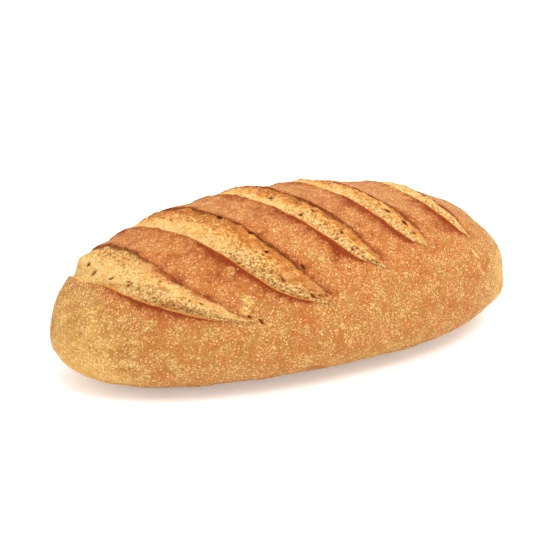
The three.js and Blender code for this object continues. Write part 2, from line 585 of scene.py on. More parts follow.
@dataclass(frozen=True)
class Oven:
    """How brown the crust got, from 0 for pale to 1 for dark.

    A pair is where a change happens. Lip and ear are what the glows at a near and a far edge
    add, and flake is what a flake takes away. Ends is painted light: how much paler both ends
    get, as if side light falls on them.
    """

    plain: float = 0.42
    crown: float = 0.16
    crown_turn: Pair = (0.4, 0.22)
    # Painted light: both ends paler, as if side light falls on them.
    ends: float = 0.46
    ends_reach: Pair = (90.0, 136.0)
    floury: float = 0.12
    floury_turn: Pair = (0.46, 0.62)
    patches: Unevenness = Unevenness(0.1, 24.0, 3, 40.0)
    lip: float = 0.8
    ear: float = 0.3
    limits: Pair = (-0.1, 1.1)
    flake: float = 0.85


@dataclass(frozen=True)
class Scatter:
    """Seeded holes in the crumb and flakes on the crust.

    A pair is a least and a most value, or the two numbers of a beta distribution. Three numbers
    are a skewed value: its least, its spread, and its power. Pores are counted per millimetre of
    half an opening and per turn, and low_share of them leave the far edge low down.
    """

    pores: float = 22.0
    margins: Pair = (0.03, 0.015)
    low_turn: Pair = (0.1, 0.25)
    low_share: float = 0.5
    ear_beta: Pair = (5.0, 2.2)
    low_beta: Pair = (1.6, 3.0)
    pore_length: Triple = (0.65, 1.4, 4.0)
    pore_width: Pair = (0.5, 0.9)
    pore_depth: Pair = (0.4, 1.3)
    # How deep the painted shade in a pore's ground is, as a skewed value.
    pore_shade: Triple = (0.2, 0.55, 1.5)
    flakes: int = 420
    flake_x: Pair = (-132.0, 132.0)
    flake_q: Pair = (-0.62, 0.72)
    flake_length: Triple = (0.9, 1.9, 3.0)
    flake_width: Pair = (0.6, 1.0)
    flake_height: Pair = (0.1, 0.45)
    flake_pale: Pair = (0.2, 0.6)


@dataclass
class LoafSkin:
    """Net of the whole skin, with its relief and the values for its finish.

    Names with spot tell how a spot is laid out: its direction is the slashes' mean one at
    spot_turn. Names with edge tell how the edges stray. Rows are given as turns from and to, and
    their number. A slash's lines of the net keep least_half from its middle, and spread_half
    under the loaf. The outermost column keeps first_step of a step from its end. Crowding, from
    0 to 1, draws a crust's columns toward its edges. Edge and wall columns are shares across an
    opening.
    """

    form: LoafForm
    slashes: tuple[Slash, ...]
    spots: tuple[Spot, ...]
    profile: TornProfile = TornProfile()
    relief: Relief = Relief()
    look: TornLook = TornLook()
    oven: Oven = Oven()
    scatter: Scatter = Scatter()
    turn_length: float = 200.0
    spot_turn_length: float = 120.0
    spot_turn: float = 0.2
    spot_step: float = 0.01
    spot_ground: Pair = (0.05, 0.55)
    edge_apart: float = 31.0
    edge_level: float = 0.5
    edge_fade: float = 0.05
    edge_gap: float = 0.5
    least_width: float = 0.1
    shut: float = 0.05
    off_base: Pair = (0.8, 0.72)
    end_calm: float = 14.0
    seed: int = 11
    rows: tuple[tuple[float, float, int], ...] = (
        (-1.0, -0.8, 6), (-0.8, -0.5, 34), (-0.5, -0.34, 24), (-0.34, 0.18, 116),
        (0.18, 0.42, 64), (0.42, 0.8, 58), (0.8, 1.0, 6),
    )
    least_half: float = 2.5
    spread_half: float = 12.0
    spread_turn: float = 0.75
    first_step: float = 0.35
    crowding: float = 0.5
    left_columns: int = 34
    crust_columns: tuple[int, ...] = (22, 26, 24, 28)
    right_columns: int = 50
    edge_columns: tuple[float, ...] = (0.0, 0.015, 0.035, 0.055)
    wall_columns: tuple[float, ...] = (0.885, 0.91, 0.93, 0.95, 0.97, 0.987)
    coarse: LatticeNoise = field(init=False)
    fine: LatticeNoise = field(init=False)
    q: Floats = field(init=False)
    x: Floats = field(init=False)

    def __post_init__(self) -> None:
        """Lays out the net: x and q of every corner, rows by columns."""
        self.coarse = LatticeNoise(self.seed)
        self.fine = LatticeNoise(self.seed + 1)
        turns = [lerp(low, high, np.arange(count) / count) for low, high, count in self.rows]
        row = np.concatenate(turns)[:, None]
        self.x = self.column_places(row)
        self.q = np.broadcast_to(row, self.x.shape)

    def edge_wander(self, q: Floats, slash: Slash, side: int) -> Floats:
        """How far a torn edge strays from its smooth line: two sorts of noise along the turn.

        Args:
            q: Turns.
            slash: The slash.
            side: -1 for the near edge and 1 for the far one.

        Returns:
            The stray, in millimetres along the loaf, 0 at the slash's points.
        """
        row = slash.x + self.edge_apart * side
        place = np.stack(np.broadcast_arrays(q * self.turn_length, row, self.edge_level), axis=-1)
        stray = self.relief.stray.at(self.coarse, place)
        stray += self.relief.fine_stray.at(self.fine, place)
        return stray * slash.amplitude(q, self.edge_fade)

    def edge_lines(
        self, q: Floats, slash: Slash, middle: Floats, half: Floats
    ) -> tuple[Floats, Floats]:
        """Two lines beside a middle line, with the edges' stray.

        Args:
            q: Turns.
            slash: The slash.
            middle: Places of the middle line.
            half: Half the distance between the lines.

        Returns:
            Places of the near and the far line. The near one keeps to the right of the slash's
            stop.
        """
        near = middle - half + self.edge_wander(q, slash, -1)
        far = middle + half + self.edge_wander(q, slash, 1)
        return np.minimum(np.maximum(near, slash.near_stop), far - self.edge_gap), far

    def edges(self, q: Floats, slash: Slash) -> tuple[Floats, Floats]:
        """Places of a slash's near and far edge at turns q."""
        return self.edge_lines(q, slash, slash.middle(q), slash.half_opening(q))

    def slash_lines(self, q: Floats) -> list[Floats]:
        """The net's lines along the edges of the slashes, near and far in turn.

        Args:
            q: Turns, of shape (rows, 1).

        Returns:
            The lines' places. Past a slash's points they keep apart and run on under the loaf.
        """
        lines = []
        for slash in self.slashes:
            point = np.where(q > 0, slash.tip, -slash.tail)
            spread = smoothstep(np.abs(q), point, self.spread_turn)
            least = lerp(self.least_half, self.spread_half, spread)
            half = np.maximum(least, slash.half_opening(q))
            lines.extend(self.edge_lines(q, slash, slash.net_middle(q), half))
        return lines

    def opening_shares(self, columns: int) -> Floats:
        """Shares across an opening of its columns.

        Args:
            columns: Their number.

        Returns:
            The near edge's shares, then even ones, then those of the far edge's wall.
        """
        even_count = columns - len(self.edge_columns) - len(self.wall_columns)
        even = np.linspace(self.edge_columns[-1], self.wall_columns[0], even_count + 2)[1:-1]
        return np.concatenate([self.edge_columns, even, self.wall_columns])

    def column_places(self, q: Floats) -> Floats:
        """Distances along the loaf of the net's columns: they follow the edges of the slashes.

        Args:
            q: Turns, of shape (rows, 1).

        Returns:
            The places, of shape (rows, columns), without the two end points. The columns crowd
            by a cosine toward the ends, and by a sine toward the edges of each crust.
        """
        end = self.form.length / 2.0
        lines = self.slash_lines(q)
        shares = (np.arange(self.left_columns) + self.first_step) / self.left_columns
        places = [lerp(-end, lines[0], 1.0 - np.cos(np.pi / 2.0 * shares))]
        for i, slash in enumerate(self.slashes):
            places.append(lerp(lines[2 * i], lines[2 * i + 1], self.opening_shares(slash.columns)))
            if i + 1 < len(self.slashes):
                even = np.arange(self.crust_columns[i]) / self.crust_columns[i]
                shares = even - self.crowding * np.sin(2.0 * np.pi * even) / (2.0 * np.pi)
                places.append(lerp(lines[2 * i + 1], lines[2 * i + 2], shares))
        shares = np.arange(self.right_columns) / (self.right_columns - 1.0 + self.first_step)
        places.append(lerp(lines[-1], end, np.sin(np.pi / 2.0 * shares)))
        return np.concatenate(places, axis=1)

    def opening(self, slash: Slash) -> Opening:
        """Where each corner lies in or beside a slash.

        Args:
            slash: The slash.

        Returns:
            The opening. Its way along the tear is the turn times the slash's mean stretch.
        """
        near, far = self.edges(self.q, slash)
        share = (self.x - near) / np.maximum(far - near, self.least_width)
        squareness = 1.0 / np.hypot(1.0, slash.slope(self.q) / self.turn_length)
        outside = np.maximum(near - self.x, self.x - far)
        is_open = (slash.half_opening(self.q) > self.shut).astype(float)
        way = self.q * np.hypot(self.turn_length, slash.slope(self.q * MEAN_SLOPE_AT))
        tear = np.stack([way, share * 2.0 * slash.half, np.full_like(share, slash.x)], axis=-1)
        beyond = np.maximum(0.0, outside) * squareness
        return Opening(slash, self.q, share, beyond, is_open, tear)

    def slash_relief(self, opening: Opening) -> tuple[Floats, Floats, Floats]:
        """What one slash adds to the plain loaf.

        Args:
            opening: The slash.

        Returns:
            Height, lean toward the near side, and 1 on its crumb. Outside the opening the crust's
            edges sink back by a factor e over the profile's fades.
        """
        profile, slash, beyond, f = self.profile, opening.slash, opening.beyond, opening.f
        lip = slash.lip * np.exp(-beyond / profile.lip_fade)
        lip += profile.rim * np.exp(-beyond / profile.rim_fade)
        ear = profile.ear(self.q, slash) * np.exp(-beyond / profile.ear_fade)
        overhang = slash.lean_over * slash.clean(self.q) * np.exp(-beyond / profile.lean_fade)
        sides = [opening.share < 0, opening.share > 1]
        height = np.select(sides, [lip, ear], profile.height(f, self.q, slash))
        lean = np.select(sides, [np.zeros_like(f), overhang], profile.lean(f, self.q, slash))
        amplitude = slash.amplitude(self.q, profile.point_fade) * opening.is_open
        crumb = smoothstep(f, *profile.crumb_near) * smoothstep(f, *profile.crumb_far)
        return height * amplitude, lean * amplitude, crumb * opening.is_open

    def crumb_relief(self, opening: Opening) -> Floats:
        """Roughness of the torn crumb: lumps, strands along and across the tear, and grain.

        Args:
            opening: The slash.

        Returns:
            Height in millimetres, to be laid on where the crumb shows.
        """
        relief, place = self.relief, opening.tear
        height = relief.lumps.at(self.coarse, place) + relief.strands.at(self.fine, place)
        height += relief.cross_strands.at(self.coarse, place)
        return height + relief.grain.at(self.fine, place) - relief.crumb_sunk

    def crust_relief(self, plain: Floats) -> Floats:
        """Unevenness of the crust: broad swells, then small bumps and grain, none above 0.

        Args:
            plain: Points of the plain loaf.

        Returns:
            Height in millimetres, 0 or less.
        """
        height = self.relief.swells.at(self.coarse, plain) - self.relief.crust_sunk
        height += self.relief.bumps.at(self.coarse, plain)
        return np.minimum(0.0, height + self.relief.mealy.at(self.fine, plain))

    def spot_field(self, plain: Floats, spots: tuple[Spot, ...]) -> tuple[Floats, Floats, Floats]:
        """Dents and swellings: each is its height times (1 - r^2)^2, r the distance in its sizes.

        Args:
            plain: Points of the plain loaf.
            spots: The spots.

        Returns:
            Height, the painted shade in the holes' ground, and how pale the flakes are.
        """
        height, dark, pale = np.zeros((3, *self.x.shape))
        lean = np.mean([slash.slope(self.spot_turn) for slash in self.slashes])
        step = self.spot_step
        for spot in spots:
            reach = (spot.length + spot.width) / self.spot_turn_length + step
            near = np.abs(self.q[:, 0] - spot.q) < reach
            centre = self.form.point(np.array(spot.x), np.array(spot.q))
            ahead = self.form.point(np.array(spot.x + lean * step), np.array(spot.q + step))
            ahead -= centre
            ahead /= np.linalg.norm(ahead)
            away = plain[near] - centre
            along = away @ ahead
            side = np.sqrt(np.maximum(0.0, np.linalg.norm(away, axis=-1) ** 2 - along ** 2))
            r2 = (along / spot.length) ** 2 + (side / spot.width) ** 2
            bell = np.clip(1.0 - r2, 0.0, 1.0) ** 2
            height[near] += spot.height * bell
            ground = smoothstep(bell, *self.spot_ground)
            # A hole's ground gets painted shade; a flake's ground gets paler.
            dark[near] = np.maximum(dark[near], spot.hole_shade_flake_pale * ground)
            pale[near] = np.maximum(pale[near], -spot.hole_shade_flake_pale * ground)
        return height, dark, pale

    def torn_pores(self) -> tuple[Spot, ...]:
        """Seeded holes in the crumb: many under each far edge and low down, a few elsewhere.

        Returns:
            The holes, more of them in a wider, longer or more toasted slash.
        """
        plan = self.scatter
        rng = np.random.default_rng(self.seed + 2)
        spots = []
        for slash in self.slashes:
            turns = slash.tip - slash.tail
            for _ in range(int(plan.pores * slash.half * turns * slash.toasted)):
                q = rng.uniform(slash.tail + plan.margins[0], slash.tip - plan.margins[1])
                low_down = smoothstep(q, *plan.low_turn) * plan.low_share
                under_ear = rng.uniform() > low_down
                f = rng.beta(*(plan.ear_beta if under_ear else plan.low_beta))
                near, far = self.edges(np.array(q), slash)
                long = skewed(rng, *plan.pore_length)
                wide = long * rng.uniform(*plan.pore_width)
                depth = rng.uniform(*plan.pore_depth)
                # Painted shade in the hole's ground.
                dark = skewed(rng, *plan.pore_shade)
                spots.append(Spot(float(lerp(near, far, f)), q, long, wide, -depth, dark))
        return tuple(spots)

    def crust_flakes(self) -> tuple[Spot, ...]:
        """Seeded small pale blisters and flakes all over the crust.

        Returns:
            The flakes, which are swellings with a pale ground.
        """
        plan = self.scatter
        rng = np.random.default_rng(self.seed + 3)
        spots = []
        for _ in range(plan.flakes):
            long = skewed(rng, *plan.flake_length)
            x, q = rng.uniform(*plan.flake_x), rng.uniform(*plan.flake_q)
            wide = long * rng.uniform(*plan.flake_width)
            height, pale = rng.uniform(*plan.flake_height), rng.uniform(*plan.flake_pale)
            spots.append(Spot(x, q, long, wide, height, -pale))
        return tuple(spots)

    def cut(self, slash: Slash, plain: Floats, layers: SkinLayers) -> None:
        """Cuts one slash: adds its relief and its looks to the layers.

        Args:
            slash: The slash.
            plain: Points of the plain loaf.
            layers: The layers so far, which are changed.
        """
        look, opening = self.look, self.opening(slash)
        added, leaned, torn = self.slash_relief(opening)
        rough = self.crumb_relief(opening) * torn * slash.amplitude(self.q, look.rough_fade)
        layers.height += added + rough
        layers.lean += leaned
        patchy = opening.f + look.patches.at(self.coarse, plain)
        ragged = smoothstep(patchy, *look.ragged) * (1.0 - slash.clean(self.q))
        layers.crumb = np.maximum(layers.crumb, torn * (1.0 - look.ragged_share * ragged))
        layers.toast = np.where(torn > 0, look.toast(opening), layers.toast)
        layers.porous = np.where(torn > 0, look.porous(opening), layers.porous)
        layers.tear = np.where((torn > 0)[..., None], opening.tear, layers.tear)
        layers.glows = np.maximum(layers.glows, look.glows(opening))

    def skin(self) -> tuple[Floats, dict[Mark, Floats]]:
        """The finished surface: the plain loaf, moved along its normal and leaned over at the ears.

        Returns:
            Its points in millimetres, of shape (rows, columns, 3), and the values for the finish.
            All relief dies away at both end points, where the columns meet.
        """
        plain = self.form.point(self.x, self.q)
        normal, along = self.form.directions(self.x, self.q)
        none = np.zeros(self.x.shape)
        layers = SkinLayers(
            height=none.copy(), lean=none.copy(), crumb=none, toast=none, porous=none,
            glows=np.stack([none, none, none]),
            tear=np.stack([plain[..., 0], plain[..., 2], none], axis=-1),
        )
        for slash in self.slashes:
            self.cut(slash, plain, layers)
        off_base = smoothstep(np.abs(self.q), *self.off_base)
        spots = self.torn_pores() + self.spots + self.crust_flakes()
        dents, dark, pale = self.spot_field(plain, spots)
        crust = self.crust_relief(plain) * (1.0 - layers.crumb) * off_base
        calm = smoothstep(self.form.length / 2.0 - np.abs(self.x), 0.0, self.end_calm)
        rise = (layers.height + crust + dents) * calm
        points = plain + normal * rise[..., None] - along * (layers.lean * calm)[..., None]
        toast = layers.toast + self.look.streaks.at(self.coarse, layers.tear)
        marks = {
            Mark.CRUMB: layers.crumb,
            Mark.TOAST: np.clip(toast, 0.0, 1.0),
            Mark.BAKE_AND_END_LIGHT: self.baking_and_end_light(plain, *layers.glows[:2]) - self.oven.flake * pale,
            Mark.RIM_HIGHLIGHT: layers.glows[2],
            # Painted shade in the holes' ground.
            Mark.HOLE_SHADE: dark,
            Mark.POROUS: layers.porous,
            Mark.TEAR: layers.tear,
        }
        return points, marks

    def baking_and_end_light(self, plain: Floats, lip_glow: Floats, ear_glow: Floats) -> Floats:
        """How brown the crust is, from 0 for pale to 1 for dark, with painted light at both ends.

        Args:
            plain: Points of the plain loaf.
            lip_glow: Nearness to a near edge, which browns most.
            ear_glow: Nearness to a far edge.

        Returns:
            The browning: more on the crown between the slashes, less low on the floury front, and
            patches. Both ends are paler too: painted light, as if side light falls on them.
        """
        oven = self.oven
        bake = oven.plain + oven.crown * smoothstep(np.abs(self.q), *oven.crown_turn)
        bake -= oven.ends * smoothstep(np.abs(self.x), *oven.ends_reach)
        bake -= oven.floury * smoothstep(self.q, *oven.floury_turn)
        bake += oven.patches.at(self.coarse, plain)
        return np.clip(bake + oven.lip * lip_glow + oven.ear * ear_glow, *oven.limits)


class MeshMaker:
    """Turns nets of points into mesh objects."""

    @staticmethod
    def closed_net(name: str, points: Floats, ends: tuple[Vector, Vector]) -> bpy.types.Object:
        """A tube of quads, closed round its rows, with a fan of triangles round each end point.

        Args:
            name: The piece's name.
            points: Corners in metres, of shape (rows, columns, 3).
            ends: The two end points.

        Returns:
            The object, at the origin, with smooth faces that point outward.
        """
        rows, columns = points.shape[:2]
        corner = np.arange(rows * columns).reshape(rows, columns)
        below = np.roll(corner, -1, axis=0)
        quads = np.stack([corner[:, :-1], below[:, :-1], below[:, 1:], corner[:, 1:]], axis=-1)
        left = np.full(rows, rows * columns)
        left_fan = np.stack([left, below[:, 0], corner[:, 0]], axis=-1)
        right_fan = np.stack([left + 1, corner[:, -1], below[:, -1]], axis=-1)
        places = np.concatenate([points.reshape(-1, 3), np.array([list(end) for end in ends])])
        fans = np.concatenate([left_fan, right_fan])
        loops = np.concatenate([quads.reshape(-1), fans.reshape(-1)])
        sizes = np.concatenate([np.full(quads.size // 4, 4), np.full(len(fans), 3)])
        mesh = bpy.data.meshes.new(name)
        mesh.vertices.add(len(places))
        mesh.vertices.foreach_set("co", places.astype(np.float32).ravel())
        mesh.loops.add(len(loops))
        mesh.loops.foreach_set("vertex_index", loops.astype(np.int32))
        mesh.polygons.add(len(sizes))
        mesh.polygons.foreach_set("loop_start", (np.cumsum(sizes) - sizes).astype(np.int32))
        mesh.polygons.foreach_set("use_smooth", np.ones(len(sizes), dtype=bool))
        mesh.update(calc_edges=True)
        mesh.validate()
        piece = bpy.data.objects.new(name, mesh)
        bpy.context.scene.collection.objects.link(piece)
        return piece

    @staticmethod
    def add_mark(piece: bpy.types.Object, mark: Mark, values: Floats, ends: Floats) -> None:
        """Writes one value, or three, to each corner of a closed net.

        Args:
            piece: The net.
            mark: Which value.
            values: Values of the corners, rows by columns.
            ends: Values of the two end points.
        """
        kind, prop = ("FLOAT_VECTOR", "vector") if values.ndim == 3 else ("FLOAT", "value")
        flat = values.reshape(-1, 3) if values.ndim == 3 else values.reshape(-1)
        data = piece.data.attributes.new(mark.value, kind, "POINT").data
        data.foreach_set(prop, np.concatenate([flat, ends]).astype(np.float32).ravel())


@dataclass(frozen=True)
class Noise:
    """Noise of a material: a lump's size, the number of finer layers, and how strong each is."""

    size: float
    detail: float = 3.0
    rough: float = 0.6


@dataclass(frozen=True)
class Rise:
    """Smooth rise of a value from 0 at low to top at high, or a fall where high is less."""

    low: float
    high: float
    top: float = 1.0


@dataclass(frozen=True)
class Dots:
    """Round dots in scattered cells.

    Attributes:
        size: Size of a cell in metres.
        radius: A dot's radius as a share of its cell.
        least: A cell's random value at which its dot begins to show.
        most: Random value from which the dot shows fully.
        edge: Where a dot's soft edge ends and begins, in radii.
    """

    size: float
    radius: float
    least: float
    most: float
    edge: Pair = (1.4, 0.5)


class Bench:
    """Lays out the nodes of one material. Where nothing else is said, a value is a socket."""

    def __init__(self, name: str) -> None:
        """Starts a material with its shader.

        Args:
            name: The material's name.
        """
        self.material = bpy.data.materials.new(name)
        self.material.use_nodes = True
        self.tree = self.material.node_tree
        self.shader = self.tree.nodes["Principled BSDF"]
        self.place = self.add("ShaderNodeTexCoord", {}).outputs["Object"]

    def feed(self, node: bpy.types.Node, inputs: Inputs) -> None:
        """Links or sets inputs of a node.

        Args:
            node: The node.
            inputs: What each gets, by its name or number: a socket to link to, or a value.
        """
        for name, value in inputs.items():
            if isinstance(value, Socket):
                self.tree.links.new(value, node.inputs[name])
            else:
                node.inputs[name].default_value = value

    def add(self, kind: str, inputs: Inputs, **settings: str) -> bpy.types.Node:
        """Adds a node.

        Args:
            kind: Its type.
            inputs: What its inputs get.
            settings: Its plain settings, by name.

        Returns:
            The node.
        """
        node = self.tree.nodes.new(kind)
        for name, value in settings.items():
            setattr(node, name, value)
        self.feed(node, inputs)
        return node

    def mark(self, mark: Mark, output: str = "Fac") -> Socket:
        """The piece's own value at each corner."""
        return self.add("ShaderNodeAttribute", {}, attribute_name=mark.value).outputs[output]

    def tear(self, along: float, across: float) -> Socket:
        """Places in the crumb in millimetres, scaled along and across the tear."""
        inputs = {"Vector": self.mark(Mark.TEAR, "Vector"), "Scale": (along, across, 1.0)}
        return self.add("ShaderNodeMapping", inputs).outputs["Vector"]

    def noise(self, noise: Noise, place: Socket | None = None) -> Socket:
        """Noise from 0 to 1, read at the piece's own places in metres, or at others."""
        inputs = {"Scale": 1.0 / noise.size, "Detail": noise.detail, "Roughness": noise.rough}
        return self.add("ShaderNodeTexNoise", {"Vector": place or self.place, **inputs}).outputs["Fac"]

    def rise(self, value: Socket, rise: Rise) -> Socket:
        """Smooth rise of a value."""
        inputs = {"Value": value, "From Min": rise.low, "From Max": rise.high, "To Max": rise.top}
        return self.add("ShaderNodeMapRange", inputs, interpolation_type="SMOOTHSTEP").outputs["Result"]

    def linear(self, value: Socket, gain: object = 1.0, offset: object = 0.0) -> Socket:
        """Value times gain, plus offset, each of which may be a number too."""
        inputs = dict(enumerate((value, gain, offset)))
        return self.add("ShaderNodeMath", inputs, operation="MULTIPLY_ADD").outputs[0]

    def dots(self, dots: Dots) -> Socket:
        """Scattered dots, each of its own strength.

        Args:
            dots: Their sizes.

        Returns:
            Their strength, from 0 to 1.
        """
        cells = self.add("ShaderNodeTexVoronoi", {"Vector": self.place, "Scale": 1.0 / dots.size})
        edge = Rise(*(radii * dots.radius for radii in dots.edge))
        chance = self.rise(cells.outputs["Color"], Rise(dots.least, dots.most))
        return self.linear(self.rise(cells.outputs["Distance"], edge), chance)

    def ramp(self, value: Socket, stops: Stops) -> Socket:
        """Colours by a value.

        Args:
            value: The value.
            stops: Places and colours on the display scale, in order.

        Returns:
            The colour.
        """
        node = self.add("ShaderNodeValToRGB", {"Fac": value})
        elements = node.color_ramp.elements
        for i, (place, colour) in enumerate(stops):
            stop = elements[i] if i < 2 else elements.new(place)
            stop.position = place
            stop.color = (*pigment(colour), 1.0)
        return node.outputs["Color"]

    def mix(self, share: Socket, first: Socket, second: Socket | Shown) -> Socket:
        """Two colours mixed by the second one's share.

        Args:
            share: The share.
            first: The first colour.
            second: The second colour, or one on the display scale.

        Returns:
            The mixed colour.
        """
        if isinstance(second, tuple):
            second = (*pigment(second), 1.0)
        node = self.add("ShaderNodeMix", {"Factor": share}, data_type="RGBA")
        colours = [i for i, socket in enumerate(node.inputs) if socket.type == "RGBA"]
        self.feed(node, dict(zip(colours, (first, second))))
        return next(socket for socket in node.outputs if socket.type == "RGBA")

    def bump(self, height: Socket, size: Pair, **below: Socket) -> Socket:
        """Bumps of a height map, by the lift in metres of a height of 1 and by their strength."""
        inputs = {"Height": height, "Distance": size[0], "Strength": size[1], **below}
        return self.add("ShaderNodeBump", inputs).outputs["Normal"]


@dataclass(frozen=True)
class BakedFinish:
    """Matt mealy crust and torn crumb, from the skin's own values.

    Crust and crumb each have a ramp of colours by how brown they are. Noise in the crumb is read
    along and across the tear where a pair named stretch goes with it.
    """

    crust: Stops = (
        (0.0, (224, 166, 86)), (0.3, (189, 130, 62)), (0.6, (196, 117, 56)), (1.0, (138, 50, 10)),
    )
    flecks: Stops = (
        (0.0, (255, 222, 152)), (0.35, (248, 204, 136)), (0.65, (244, 186, 122)),
        (1.0, (214, 136, 72)),
    )
    crumb: Stops = (
        (0.0, (255, 212, 128)), (0.25, (255, 194, 106)), (0.5, (252, 182, 96)),
        (0.75, (238, 160, 80)), (1.0, (208, 126, 56)),
    )
    # Painted highlight on pale crumb grains; the crust's few bright dots take the same colour.
    bright_dot_and_highlight: Shown = (255, 228, 164)
    # Scorched specks on the crust, and painted shade in the crumb's fine pits.
    scorch_and_pit_shade: Shown = (164, 80, 26)
    # Painted shade in the gaps between the crumb's strands.
    strand_gap_shade: Shown = (176, 122, 66)
    # Orange of each near edge's raised rim: partly its own colour, partly a painted highlight.
    rim: Shown = (236, 146, 70)
    # Painted shade round the holes and in their ground.
    hole_rim_shade: Shown = (184, 104, 46)
    hole: Shown = (96, 42, 14)
    roughness: float = 0.7
    specular: float = 0.1
    patch: Noise = Noise(0.007)
    patch_gain: float = 1.1
    mealy: Rise = Rise(1.35, 0.5)
    floury: Noise = Noise(0.01, 2.0)
    floury_rise: Rise = Rise(0.3, 0.62, 1.15)
    speckle: Noise = Noise(0.0009, 3.0, 0.75)
    grain: Rise = Rise(0.5, 0.6, 0.7)
    scorched: Rise = Rise(0.47, 0.38, 0.5)
    fleck_dots: tuple[Dots, ...] = (Dots(0.0015, 0.3, 0.35, 0.75), Dots(0.0024, 0.24, 0.5, 0.7))
    rare_dots: Dots = Dots(0.0036, 0.12, 0.68, 0.74)
    crust_bump: Pair = (0.0008, 0.7)
    strand: Noise = Noise(1.3)
    strand_stretch: Pair = (0.5, 1.0)
    strand_gain: float = 1.7
    clump: Noise = Noise(0.0032, 2.0)
    clump_gain: float = 1.5
    clump_offset: float = -1.58
    speck: Noise = Noise(0.0013, 3.0, 0.7)
    # Where the crumb's grains get painted highlights: more where it is pale.
    bright: Rise = Rise(0.9, 0.2, 0.85)
    highlight_speck: Rise = Rise(0.5, 0.6)
    # Where painted shade goes in the crumb's fine pits.
    pit_gain: float = 0.1
    pits: Rise = Rise(0.58, 0.7, 0.8)
    cross_strand: Noise = Noise(0.9, 2.0)
    cross_stretch: Pair = (1.0, 0.4)
    cross_gap_shade: Rise = Rise(0.47, 0.36, 0.75)
    # Where the painted shade round and in the holes goes.
    hole_rim_shade_rise: Rise = Rise(0.0, 0.5, 0.8)
    holes: Rise = Rise(0.35, 0.75)
    # Where the rim's orange, partly a painted highlight, goes.
    rims: Rise = Rise(0.2, 1.0, 0.6)
    crumb_bump: Pair = (0.0013, 0.8)
    strand_bump: float = 0.8

    def crust_colour(self, bench: Bench, speckle: Socket) -> Socket:
        """Colour of the crust: browning in patches, fine flecks and specks, and a few bright dots.

        Args:
            bench: The material's nodes.
            speckle: Fine noise from 0 to 1.

        Returns:
            The colour.
        """
        # Browning, with painted light that makes both ends paler.
        bake_and_end_light = bench.mark(Mark.BAKE_AND_END_LIGHT)
        patch = bench.linear(bench.noise(self.patch), self.patch_gain, -self.patch_gain / 2.0)
        brown = bench.linear(bake_and_end_light, offset=patch)
        fleck = bench.ramp(brown, self.flecks)
        mealy = bench.rise(bake_and_end_light, self.mealy)
        floury = bench.linear(mealy, bench.rise(bench.noise(self.floury), self.floury_rise))
        grain = bench.linear(bench.rise(speckle, self.grain), floury)
        colour = bench.mix(grain, bench.ramp(brown, self.crust), fleck)
        colour = bench.mix(bench.rise(speckle, self.scorched), colour, self.scorch_and_pit_shade)
        for dots in self.fleck_dots:
            colour = bench.mix(bench.linear(bench.dots(dots), mealy), colour, fleck)
        return bench.mix(bench.dots(self.rare_dots), colour, self.bright_dot_and_highlight)

    def crumb_colour(self, bench: Bench, strand: Socket, speck: Socket) -> Socket:
        """Colour of the crumb: toasting with strands, painted highlights, and painted shade in pits and
        gaps.

        Args:
            bench: The material's nodes.
            strand: Noise that is drawn out along the tear.
            speck: Fine noise from 0 to 1.

        Returns:
            The colour.
        """
        clump = bench.linear(bench.noise(self.clump), self.clump_gain, self.clump_offset)
        shift = bench.linear(strand, self.strand_gain, clump)
        brown = bench.linear(bench.mark(Mark.TOAST), offset=shift)
        colour = bench.ramp(brown, self.crumb)
        # Painted highlights on pale grains.
        bright = bench.linear(bench.rise(brown, self.bright), bench.rise(speck, self.highlight_speck))
        colour = bench.mix(bright, colour, self.bright_dot_and_highlight)
        porous = bench.mark(Mark.POROUS)
        # Painted shade in fine pits.
        pitted = bench.linear(porous, self.pit_gain, bench.linear(speck, -1.0, 1.0))
        colour = bench.mix(bench.rise(pitted, self.pits), colour, self.scorch_and_pit_shade)
        # Painted shade in the gaps between cross strands.
        cross = bench.noise(self.cross_strand, bench.tear(*self.cross_stretch))
        gaps = bench.linear(bench.rise(cross, self.cross_gap_shade), porous)
        return bench.mix(gaps, colour, self.strand_gap_shade)

    def make(self) -> bpy.types.Material:
        """Builds the material.

        Returns:
            The material: crust by its browning, crumb by its toasting, painted shade round and in
            the holes, the near edges' rims in an orange that is partly a painted highlight, and bumps
            of the same grain.
        """
        bench = Bench("baked_crust")
        speckle = bench.noise(self.speckle)
        strand = bench.noise(self.strand, bench.tear(*self.strand_stretch))
        speck = bench.noise(self.speck)
        crust = self.crust_colour(bench, speckle)
        torn = bench.mark(Mark.CRUMB)
        skin = bench.mix(torn, crust, self.crumb_colour(bench, strand, speck))
        # Painted shade round the holes and in their ground.
        hole_shade_flake_pale = bench.mark(Mark.HOLE_SHADE)
        skin = bench.mix(bench.rise(hole_shade_flake_pale, self.hole_rim_shade_rise), skin, self.hole_rim_shade)
        skin = bench.mix(bench.rise(hole_shade_flake_pale, self.holes), skin, self.hole)
        # The near edges' rims: partly their own orange, partly a painted highlight.
        skin = bench.mix(bench.rise(bench.mark(Mark.RIM_HIGHLIGHT), self.rims), skin, self.rim)
        rough = bench.linear(bench.linear(strand, self.strand_bump, speck), torn)
        bumps = bench.bump(rough, self.crumb_bump, Normal=bench.bump(speckle, self.crust_bump))
        bench.feed(bench.shader, {
            "Base Color": skin, "Normal": bumps, "Roughness": self.roughness,
            "Specular IOR Level": self.specular,
        })
        return bench.material


